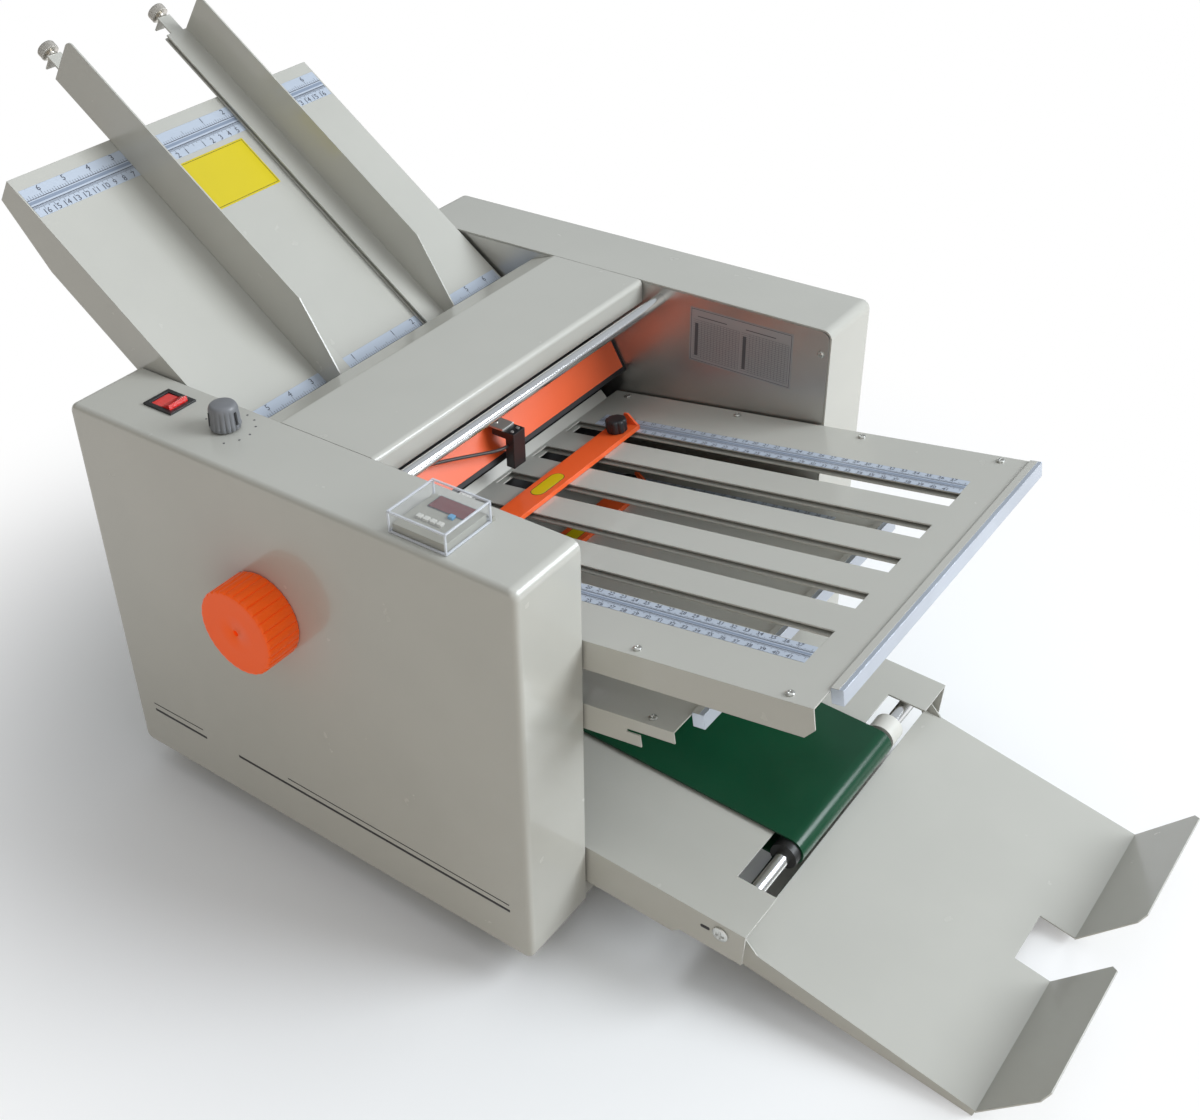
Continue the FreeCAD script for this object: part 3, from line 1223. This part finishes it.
def paper_stop(label, start, angle, along):
    """A stop bar across a fold plate, with a raised ear and a finger down through each slot but
    the last, which is left to the knob's screw."""
    name = label.title().replace("_", "")
    body = fresh("PartDesign::Body", name)
    low, high = S.rest_gap, S.screw_head + S.rest_gap
    wall = S.stop_thickness
    pad(body, name + "Bar", "XY_Plane",
        rectangle(along, STOP_NEAR, along + S.stop_width, STOP_FAR), high, wall)
    lip_near = STOP_NEAR + S.screw_inset + S.screw_head_radius
    for edge, x in (("Rear", along), ("Front", along + S.stop_width - wall)):
        pad(body, name + edge + "Lip", "XY_Plane", rectangle(x, lip_near, x + wall, STOP_FAR), low,
            high - low + wall / 2)
    front, rear = along + S.stop_width, along + S.stop_width - S.stop_ear_foot
    ear = [(rear, high), (front, high), (front, high + S.stop_ear_low),
           (rear + S.stop_ear_top, high + S.stop_ear), (rear, high + S.stop_ear)]
    pad(body, name + "Ear", "XZ_Plane", ear, STOP_FAR - wall, wall)
    middle = along + S.stop_width / 2
    reach = 2 * S.fold_sheet + S.fold_gap + S.finger_below
    count = int(S.slot_count.value)
    for number in range(count - 1):
        y = S.slot_offset + S.slot_pitch * (number - (count - 1) / 2)
        finger = rectangle(middle - S.finger_thickness / 2, y - S.finger_width / 2,
                           middle + S.finger_thickness / 2, y + S.finger_width / 2)
        pad(body, f"{name}Finger{number}", "XY_Plane", finger, -reach, reach + high + wall / 2)
    holes(body, name + "KnobHole", "XY_Plane",
          [(middle, STOP_KNOB, S.stop_screw_radius + S.shaft_fit)], high - S.cut_overrun / 2,
          wall + S.cut_overrun)
    piece(label, tilt(body, start, -angle))
    return middle


def stop_knob(label, start, angle, middle):
    """The round knob that clamps a stop; its screw passes down through the bar and a slot."""
    name = label.title().replace("_", "")
    base = S.screw_head + 2 * S.rest_gap + S.stop_thickness
    x, z = on_slope(start, -angle, middle, base)
    knob = fluted_knob(name + "Grip", S.stop_knob_radius, S.stop_knob_height, S.stop_flutes,
                       S.dial_flute_radius, S.dial_flute_radius)
    knob.Placement = FreeCAD.Placement()
    grip = put(knob, x, STOP_KNOB, z, axis=(0, 1, 0), angle=-angle)
    reach = 2 * S.fold_sheet + S.fold_gap + S.finger_below
    shank = rod(name + "Shank", S.stop_screw_radius, (NONE, NONE, NONE),
                reach + base + S.stop_knob_height / 2, "Z")
    tip_x, tip_z = on_slope(start, -angle, middle, -reach)
    put(shank, tip_x, STOP_KNOB, tip_z, axis=(0, 1, 0), angle=-angle)
    return piece(label, join(name, [grip, shank]))


# Delivery

def delivery_table():
    """The table under the belt: a flat top, deep side flanges and an open notch for the roller."""
    near, far = TABLE_NEAR, TABLE_FAR
    length = S.table_length
    body = fresh("PartDesign::Body", "DeliveryTable")
    pad(body, "TableFloor", "XY_Plane", rectangle(NONE, near, length, far), -S.table_sheet,
        S.table_sheet)
    flange = [(NONE, NONE), (length, NONE), (length, -S.table_flange_end),
              (S.table_step + S.table_flange - S.table_flange_end, -S.table_flange_end),
              (S.table_step, -S.table_flange), (NONE, -S.table_flange)]
    pad(body, "TableNearFlange", "XZ_Plane", flange, near, S.table_sheet)
    pad(body, "TableFarFlange", "XZ_Plane", flange, far - S.table_sheet, S.table_sheet)
    notch = rectangle(S.table_cut_start, near + S.table_cut_near, length + S.cut_overrun,
                      far - S.table_cut_far)
    pocket(body, "TableNotch", "XY_Plane", notch, -S.table_sheet - S.cut_overrun,
           S.table_sheet + 2 * S.cut_overrun)
    return piece("delivery_table", tilt(body, TABLE_START, S.table_angle))


def table_pins():
    """Pins on the frame plates under the delivery table's flanges."""
    pins = []
    for share in TABLE_PIN_SHARES:
        drop = S.table_flange + S.support_pin_radius + S.rest_gap
        x, z = on_slope(TABLE_START, S.table_angle, S.table_length * share, -drop)
        for side, y in (("Near", -HALF_INNER), ("Far", HALF_INNER - S.support_pin_length)):
            pins.append(rod(f"TableRest{side}{len(pins)}", S.support_pin_radius, (x, y, z),
                            S.support_pin_length))
    return pins


TABLE_PIN_SHARES = (0.14, 0.54)


def conveyor_belt():
    """The delivery belt round its two drums, above and below the table's floor."""
    belt = belt_loop("ConveyorBelt", DRIVE_DRUM, S.drum_radius, END_DRUM, S.drum_radius,
                     S.web_thickness, S.web_offset - S.web_width / 2, S.web_width)
    return piece("conveyor_belt", belt)


def conveyor_drive_roller():
    """The rear drum, its shaft through both frame plates and the pulley on its near end."""
    x, z = DRIVE_DRUM
    reach = TRANSFER_OUT + PLATE_OUT + 2 * S.bush_flange
    shaft = rod("DriveDrumShaft", S.shaft_radius, (x, -TRANSFER_OUT, z), reach)
    drum = rod("DriveDrum", S.drum_radius, (x, S.web_offset - S.web_width / 2, z), S.web_width)
    wheel = rod("DriveDrumPulley", S.transfer_pulley_radius, (x, -TRANSFER_OUT, z), S.pulley_width)
    return piece("conveyor_drive_roller", join("ConveyorDriveRoller", [shaft, drum, wheel]))


def end_shaft():
    """The fixed chrome shaft between the table's flanges."""
    near = TABLE_NEAR + S.table_sheet
    shaft = rod("EndShaft", S.end_shaft_radius, (END_DRUM[0], near, END_DRUM[1]),
                TABLE_WIDTH - 2 * S.table_sheet)
    return piece("end_shaft", shaft)


def end_roller():
    """The front drum, which turns on the end shaft, with its collar and guide wheel beside it."""
    x, z = END_DRUM
    bore = S.end_shaft_radius + S.drum_bore_fit
    near = S.web_offset - S.web_width / 2
    drum = tube("EndDrum", S.drum_radius, bore, (x, near, z), S.web_width)
    collar = tube("EndCollar", S.drum_radius, bore, (x, near - S.collar_width, z), S.collar_width)
    wheel = tube("EndWheel", S.wheel_radius, bore, (x, S.wheel_y - S.wheel_width / 2, z),
                 S.wheel_width)
    return piece("end_roller", group("EndRoller", [drum, collar, wheel]))


def catch_tray():
    """The catch tray: a tapering pan with two raised end tabs, hung on the end shaft."""
    near = S.catch_offset - CATCH_WIDTH / 2
    far = S.catch_offset + CATCH_WIDTH / 2
    length, sheet = S.catch_length, S.catch_sheet
    body = fresh("PartDesign::Body", "CatchPan")
    pad(body, "PanFloorSheet", "XY_Plane", rectangle(NONE, near, length, far), -sheet, sheet)
    flange = [(NONE, NONE), (length, NONE), (length, -S.catch_flange_end), (NONE, -S.catch_flange)]
    pad(body, "PanNearFlange", "XZ_Plane", flange, near, sheet)
    pad(body, "PanFarFlange", "XZ_Plane", flange, far - sheet, sheet)
    dx, dz = END_DRUM[0] - CATCH_START[0], END_DRUM[1] - CATCH_START[1]
    ear_x = dx * cosine(S.catch_angle) - dz * sine(S.catch_angle)
    ear_z = dx * sine(S.catch_angle) + dz * cosine(S.catch_angle)
    radius = S.catch_ear_radius
    strut = [(ear_x - radius / 2, ear_z), (ear_x + radius / 2, ear_z), (2 * radius, -sheet / 2),
             (NONE, -radius)]
    pad(body, "PanNearStrut", "XZ_Plane", strut, near, sheet)
    pad(body, "PanFarStrut", "XZ_Plane", strut, far - sheet, sheet)
    notch = rectangle(length - S.catch_cut_length, S.catch_cut_near, length + S.cut_overrun,
                      S.catch_cut_far)
    pocket(body, "PanNotch", "XY_Plane", notch, -sheet - S.cut_overrun, sheet + 2 * S.cut_overrun)
    pan = tilt(body, CATCH_START, S.catch_angle)
    parts = [pan]
    drills = []
    for side, y in (("Near", near), ("Far", far - sheet)):
        parts.append(rod(f"{side}Ear", radius, (END_DRUM[0], y, END_DRUM[1]), sheet))
        drills.append(rod(f"{side}EarBore", S.end_shaft_radius + S.drum_bore_fit,
                          (END_DRUM[0], y - S.cut_overrun, END_DRUM[1]), sheet + 2 * S.cut_overrun))
    fold = on_slope(CATCH_START, S.catch_angle, length, NONE)
    for side, low, high in (("Near", near, S.catch_cut_near), ("Far", S.catch_cut_far, far)):
        slant = S.catch_tab_chamfer
        outline = [(-sheet, low), (S.catch_tab - slant, low), (S.catch_tab, low + slant),
                   (S.catch_tab, high - slant), (S.catch_tab - slant, high), (-sheet, high)]
        tab = prism(f"{side}Tab", "XY_Plane", outline, -sheet, sheet)
        parts.append(tilt(tab, fold, -S.catch_tab_angle))
    return piece("catch_tray", cut("CatchTray", join("CatchTrayBlank", parts), drills))


# Controls

def switch_bezel():
    """The switch's black housing: a rim on the cover and a well that the rocker turns in."""
    x, y = BEZEL
    length, width, rim = S.bezel_length, S.bezel_width, S.bezel_rim
    top = block("BezelRim", (x - length / 2, y - width / 2, BODY_TOP), (length, width, S.bezel_rise))
    wall = rim - 2 * S.rest_gap
    side = rim - S.rest_gap / 2
    well = block("BezelWell", (x - length / 2 + side, y - width / 2 + side,
                               BODY_TOP - S.bezel_depth),
                 (length - 2 * side, width - 2 * side, S.bezel_depth + S.bezel_rise / 2))
    inside = rim + S.bezel_wall
    mouth = block("BezelMouth", (x - length / 2 + inside, y - width / 2 + inside,
                                 BODY_TOP - S.bezel_depth + wall),
                  (length - 2 * inside, width - 2 * inside, S.bezel_depth + S.cut_overrun))
    pivot = rod("BezelPivot", S.rocker_pivot + S.shaft_fit,
                (x, y - width / 2 + inside - S.rocker_pin, BODY_TOP - S.rocker_pivot_depth),
                width - 2 * inside + 2 * S.rocker_pin)
    return piece("switch_bezel", cut("SwitchBezel", join("BezelBlank", [top, well]), [mouth, pivot]))


def rocker_switch():
    """The rocker: two facets that meet in a shallow valley, on a pin through the bezel."""
    half = S.rocker_length / 2
    rise = S.rocker_rise
    outline = [(-half, -rise), (NONE, -2 * rise), (half, -rise), (half, rise), (NONE, rise / 2),
               (-half, rise)]
    tilted = prism("RockerBlock", "XZ_Plane", outline, -S.rocker_width / 2, S.rocker_width)
    pin = rod("RockerPin", S.rocker_pivot, (NONE, -S.rocker_width / 2 - S.rocker_pin, NONE),
              S.rocker_width + 2 * S.rocker_pin)
    rocker = join("RockerSwitch", [tilted, pin])
    put(rocker, *BEZEL, BODY_TOP - S.rocker_pivot_depth, axis=(0, 1, 0),
        angle=-S.rocker_angle)
    return piece("rocker_switch", rocker)


def speed_dial():
    """The fluted speed knob and its spindle, which passes down through the cover."""
    knob = fluted_knob("DialGrip", S.dial_radius, S.dial_height, S.dial_flutes, S.dial_flute_radius,
                       S.dial_flute_radius)
    put(knob, *DIAL, BODY_TOP + S.rest_gap)
    spindle = rod("DialSpindle", S.dial_shaft_radius,
                  (*DIAL, BODY_TOP - S.dial_spindle_length),
                  S.dial_spindle_length + S.dial_height / 2, "Z")
    return piece("speed_dial", join("SpeedDial", [knob, spindle]))


BUTTON_PLACES = {
    "digit_button_1": (S.digit_start_x, S.digit_y),
    "digit_button_2": (S.digit_start_x + S.digit_pitch, S.digit_y),
    "digit_button_3": (S.digit_start_x + 2 * S.digit_pitch, S.digit_y),
    "digit_button_4": (S.digit_start_x + 3 * S.digit_pitch, S.digit_y),
    "reset_button": (S.reset_x, S.reset_y),
}


def counter_body():
    """The counter set into the cover, with a well for each button and the lid's hinge lugs."""
    x, y = COUNTER
    wall, gap = S.counter_wall, S.rest_gap
    inset = wall + 2 * gap
    head = block("CounterHead", (x - S.counter_length / 2 + inset, y - S.counter_width / 2 + inset,
                                 BODY_TOP),
                 (S.counter_length - 2 * inset, S.counter_width - 2 * inset, S.counter_base))
    sunk = 2 * wall + gap
    stem = block("CounterStem", (x - S.counter_length / 2 + sunk, y - S.counter_width / 2 + sunk,
                                 BODY_TOP - S.counter_depth),
                 (S.counter_length - 2 * sunk, S.counter_width - 2 * sunk,
                  S.counter_depth + S.counter_base / 2))
    side = S.button_side + 2 * gap
    wells = [block(f"Well_{name}", (x + dx - side / 2, y + dy - side / 2,
                                   BODY_TOP + S.counter_base - S.button_well),
                   (side, side, S.button_well + S.cut_overrun))
             for name, (dx, dy) in BUTTON_PLACES.items()]
    case = cut("CounterCase", join("CounterBlank", [head, stem]), wells)
    pin_y, pin_z = cover_hinge()
    lug = 3 * S.hinge_pin_small
    half = S.knuckle_radius - gap
    lugs = []
    for end, start in (("Rear", x - S.counter_length / 2), ("Front", x + S.counter_length / 2 - lug)):
        lugs.append(rod(f"CoverLug{end}Eye", half, (start, pin_y, pin_z), lug, "X"))
        lugs.append(block(f"CoverLug{end}Foot", (start, pin_y - half, BODY_TOP),
                          (lug, 2 * half, pin_z - BODY_TOP)))
    pin = rod("CoverPin", S.hinge_pin_small, (x - S.counter_length / 2, pin_y, pin_z),
              S.counter_length, "X")
    return piece("counter_body", group("CounterBody", [case, join("CoverHinge", [*lugs, pin])]))


def cover_hinge():
    """Where the counter cover's hinge pin lies: behind its far wall, just over the housing."""
    return (COUNTER[1] + S.counter_width / 2 + S.knuckle_radius,
            BODY_TOP + S.rest_gap + S.knuckle_radius)


def counter_cover():
    """The clear cover: an open box turned over the counter, with a knuckle round the pin."""
    x, y = COUNTER
    low = BODY_TOP + S.rest_gap
    wall = S.counter_wall
    outside = block("CoverOutside", (x - S.counter_length / 2, y - S.counter_width / 2, low),
                    (S.counter_length, S.counter_width, S.counter_height))
    inside = block("CoverInside", (x - S.counter_length / 2 + wall, y - S.counter_width / 2 + wall,
                                   low - S.cut_overrun),
                   (S.counter_length - 2 * wall, S.counter_width - 2 * wall,
                    S.counter_height - wall + S.cut_overrun))
    pin_y, pin_z = cover_hinge()
    lug = 3 * S.hinge_pin_small + S.rest_gap
    start = x - S.counter_length / 2 + lug
    knuckle = rod("CoverKnuckle", S.knuckle_radius, (start, pin_y, pin_z),
                  S.counter_length - 2 * lug, "X")
    web = block("CoverWeb", (start, pin_y - S.knuckle_radius - wall / 2, pin_z),
                (S.counter_length - 2 * lug, S.knuckle_radius, S.knuckle_radius))
    bore = rod("KnuckleBore", S.hinge_pin_small + S.shaft_fit,
               (start - S.cut_overrun, pin_y, pin_z),
               S.counter_length - 2 * lug + 2 * S.cut_overrun, "X")
    blank = join("CoverBlank", [cut("CoverBox", outside, [inside]), knuckle, web])
    return piece("counter_cover", cut("CounterCover", blank, [bore]))


def counter_buttons():
    for name, (dx, dy) in BUTTON_PLACES.items():
        side = S.button_side
        depth = S.button_well - S.button_travel - S.rest_gap
        button = block(f"Block_{name}", (COUNTER[0] + dx - side / 2, COUNTER[1] + dy - side / 2,
                                         BODY_TOP + S.counter_base - depth),
                       (side, side, depth + S.button_rise))
        piece(name, button)


def hand_knob():
    """The fluted hand wheel on roller 2's shaft, outside the near housing."""
    grip = fluted_knob("HandGrip", S.hand_radius, S.hand_depth, S.hand_flutes, S.hand_flute_radius,
                       S.hand_edge)
    put(grip, S.knob_axis_x, -OUTER - S.hand_gap, S.knob_axis_z, axis=(1, 0, 0), angle=90)
    seat = rod("HandSeat", S.shaft_radius + S.shaft_fit,
               (S.knob_axis_x, -OUTER - S.hand_gap - S.hand_seat - S.rest_gap, S.knob_axis_z),
               S.hand_seat + S.rest_gap + S.cut_overrun)
    centre = rod("HandCentre", S.hand_bore,
                 (S.knob_axis_x, -OUTER - S.hand_gap - S.hand_depth - S.cut_overrun, S.knob_axis_z),
                 S.cut_overrun + S.hand_edge)
    return piece("hand_knob", cut("HandKnob", grip, [seat, centre]))


# Fasteners

def standing_screw(name, along, y):
    """A pan-head screw through both sheets of a fold plate, with its nut below."""
    low = -2 * S.fold_sheet - S.fold_gap
    head = rod(name + "Head", S.screw_head_radius, (along, y, NONE), S.screw_head, "Z")
    shank = rod(name + "Shank", S.screw_shank_radius, (along, y, low - S.screw_head),
                S.screw_head - low, "Z")
    nut = rod(name + "Nut", 2 * S.screw_shank_radius, (along, y, low - S.screw_head), S.screw_head,
              "Z")
    return join(name, [head, shank, nut])


def fasteners():
    """Every screw that shows: on the fold plates, in the frame plate and at the end shaft."""
    screws = []
    for plate, start, angle, places in (("Upper", UPPER_START, S.upper_angle, UPPER_SCREWS),
                                        ("Lower", LOWER_START, S.lower_angle, LOWER_SCREWS)):
        row = [standing_screw(f"{plate}Screw{number}", along, y)
               for number, (along, y) in enumerate(places)]
        screws.append(tilt(group(f"{plate}Screws", row), start, -angle))
    near, far = TABLE_NEAR, TABLE_FAR
    x, z = END_DRUM
    screws.append(rod("NearEndScrew", S.end_screw_radius, (x, near - S.end_screw_head, z),
                      S.end_screw_head))
    screws.append(rod("FarEndScrew", S.end_screw_radius, (x, far, z), S.end_screw_head))
    screws.append(rod("FramePlateScrew", S.screw_head_radius,
                      (FRONT - S.liner_screw_inset, HALF_INNER - S.screw_head, S.liner_screw_z),
                      S.screw_head))
    return piece("fasteners", group("Fasteners", screws))


# Build, check and write

def build():
    near_side_cover()
    far_side_cover()
    frame_plate("near_frame_plate", -1)
    frame_plate("far_frame_plate", 1)
    bearing_bushes()
    piece("base_and_rear_panel", group("BaseAndRearPanel", [base_pan(), rear_panel()]))
    power_inlet()
    rubber_feet()
    motor()
    motor_pulley()
    timing_belts()
    feed_train(fold_rollers())
    feed_tray()
    separator_pad()
    for side, y in (("near", S.near_guide_y), ("far", S.far_guide_y)):
        place = paper_guide(f"{side}_paper_guide", y, -1 if side == "near" else 1)
        guide_screw(f"{side}_guide_screw", place)
    top_cover()
    guide_bar()
    guard()
    piece("guard_edge_and_block", group("GuardEdgeAndBlock", [guard_edge(), guard_block()]))
    sensor()
    sensor_bracket()
    sensor_lead()
    strips = [upper_fold_plate(), lower_fold_plate()]
    piece("plate_end_strips", group("PlateEndStrips", strips))
    upper_middle = paper_stop("upper_stop", UPPER_START, S.upper_angle, S.stop_start)
    stop_knob("upper_stop_knob", UPPER_START, S.upper_angle, upper_middle)
    lower_middle = paper_stop("lower_stop", LOWER_START, S.lower_angle, S.lower_stop_start)
    stop_knob("lower_stop_knob", LOWER_START, S.lower_angle, lower_middle)
    delivery_table()
    conveyor_belt()
    conveyor_drive_roller()
    end_shaft()
    end_roller()
    catch_tray()
    pins = rest_pins() + tray_rests() + table_pins() + hinge_pins()
    piece("tie_rods_and_pins", group("TieRodsAndPins", tie_rods() + pins))
    switch_bezel()
    rocker_switch()
    speed_dial()
    counter_body()
    counter_cover()
    counter_buttons()
    hand_knob()
    fasteners()


def check_and_write():
    """Stop at any failed object or bad shape; otherwise write one file per sub-part."""
    DOC.recompute()
    failed = [item.Name for item in DOC.Objects
              if "Invalid" in item.State or "Error" in item.State]
    if failed:
        raise ValueError(f"failed objects: {failed}")
    for part in PIECES:
        shape = part.Shape
        if shape.isNull() or not shape.isValid():
            raise ValueError(f"{part.Label} has a bad shape")
    for part in PIECES:
        part.Shape.exportStep(f"parts/{part.Label}.step")
        print(f"{part.Label}: {len(part.Shape.Solids)} solids, {part.Shape.Volume:.0f} mm3")


build()
check_and_write()
